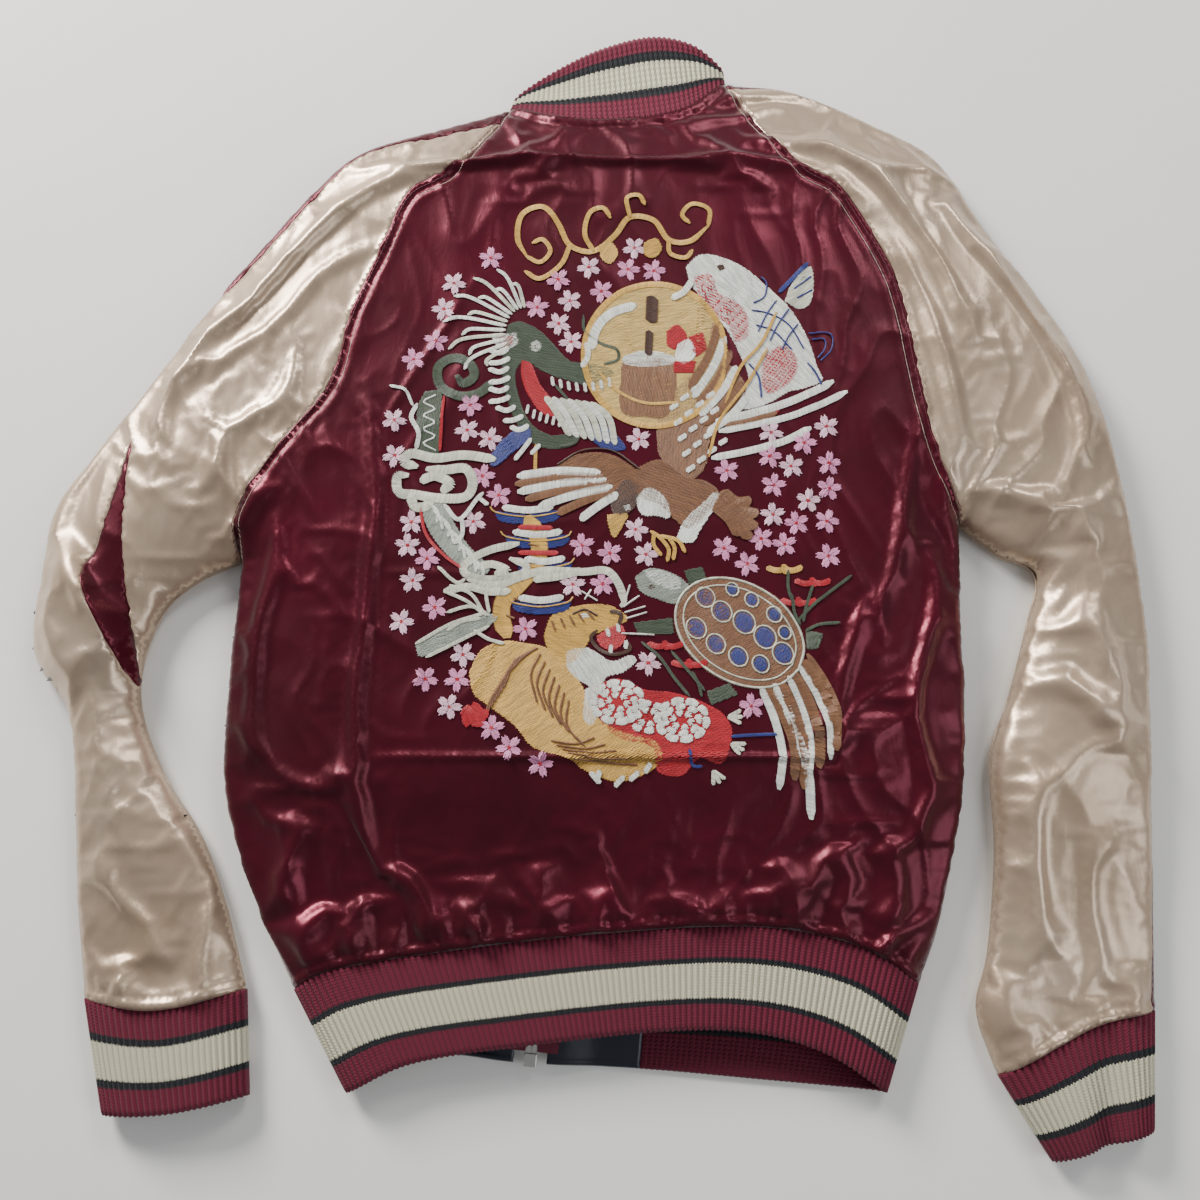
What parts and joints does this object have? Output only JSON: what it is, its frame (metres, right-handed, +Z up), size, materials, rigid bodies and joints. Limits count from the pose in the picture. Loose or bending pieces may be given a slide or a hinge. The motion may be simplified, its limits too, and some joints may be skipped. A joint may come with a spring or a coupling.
{
  "type": "satin bomber jacket",
  "caption": "Zipped satin bomber jacket lying on its front: raglan sleeves, striped rib collar, hem and cuffs, embroidered back.",
  "frame": {"origin": "under the middle of the whole outline, on the surface that the jacket lies on", "axes": "+X to the wearer's right, +Y towards the collar, +Z up, out of the jacket's back"},
  "size_m": [0.7086, 0.737, 0.0358],
  "materials": {
    "maroon_satin": "glossy woven satin, slightly wrinkled",
    "champagne_satin": "glossy woven satin, deeply creased",
    "rib_knit": "matt ribbed knit with black and cream stripes",
    "navy_satin": "glossy satin",
    "pocket_cotton": "matt plain weave",
    "woven_label": "smooth, blank",
    "gold_thread": "shiny embroidery thread",
    "pale_gold_thread": "shiny embroidery thread",
    "white_thread": "shiny embroidery thread",
    "brown_thread": "shiny embroidery thread",
    "green_thread": "shiny embroidery thread",
    "orange_thread": "shiny embroidery thread",
    "red_thread": "shiny embroidery thread",
    "zip_tape": "woven tape",
    "zip_metal": "nickel plated, polished"
  },
  "bodies": {
    "jacket": {"back_panel": "maroon_satin", "front_panel_left": "maroon_satin", "front_panel_right": "maroon_satin", "sleeve_back_left": "champagne_satin", "sleeve_back_right": "champagne_satin", "sleeve_front_left": "champagne_satin", "sleeve_front_right": "champagne_satin", "sleeve_stripe_left": "maroon_satin", "sleeve_stripe_right": "maroon_satin", "cuff_left": "rib_knit", "cuff_right": "rib_knit", "hem_rib": "rib_knit", "collar_rib": "rib_knit", "hem_tab_left": "navy_satin", "hem_tab_right": "navy_satin", "lining_back": "navy_satin", "lining_front_left": "navy_satin", "lining_front_right": "navy_satin", "lining_sleeve_left": "navy_satin", "lining_sleeve_right": "navy_satin", "pocket_welt_left": "maroon_satin", "pocket_welt_right": "maroon_satin", "pocket_bag_left": "pocket_cotton", "pocket_bag_right": "pocket_cotton", "size_label": "woven_label", "care_label": "woven_label", "hanger_loop": "navy_satin", "embroidered_scroll": "gold_thread", "embroidered_moon": "pale_gold_thread", "embroidered_carp": "white_thread", "embroidered_hawk": "brown_thread", "embroidered_dragon": "green_thread", "embroidered_tiger": "orange_thread", "embroidered_turtle": "brown_thread", "embroidered_peonies": "red_thread", "zip_tape_left": "zip_tape", "zip_tape_right": "zip_tape", "zip_teeth_left": "zip_metal", "zip_teeth_right": "zip_metal", "zip_top_stop_left": "zip_metal", "zip_top_stop_right": "zip_metal", "zip_retainer_box": "zip_metal", "zip_insertion_pin": "zip_metal"},
    "slider": {"zip_slider": "zip_metal"},
    "pull": {"zip_pull": "zip_metal"}
  },
  "joints": [
    {"name": "zip_slide", "type": "slide", "parent": "jacket", "child": "slider", "axis": [0.0979, 0.9952, 0], "range_m": [-0.513, 0]},
    {"name": "pull_swing", "type": "hinge", "parent": "slider", "child": "pull", "pos_m": [0.01594, 0.2111, 0.00315], "axis": [0.9952, -0.0979, 0], "range_deg": [0, 170]}
  ]
}
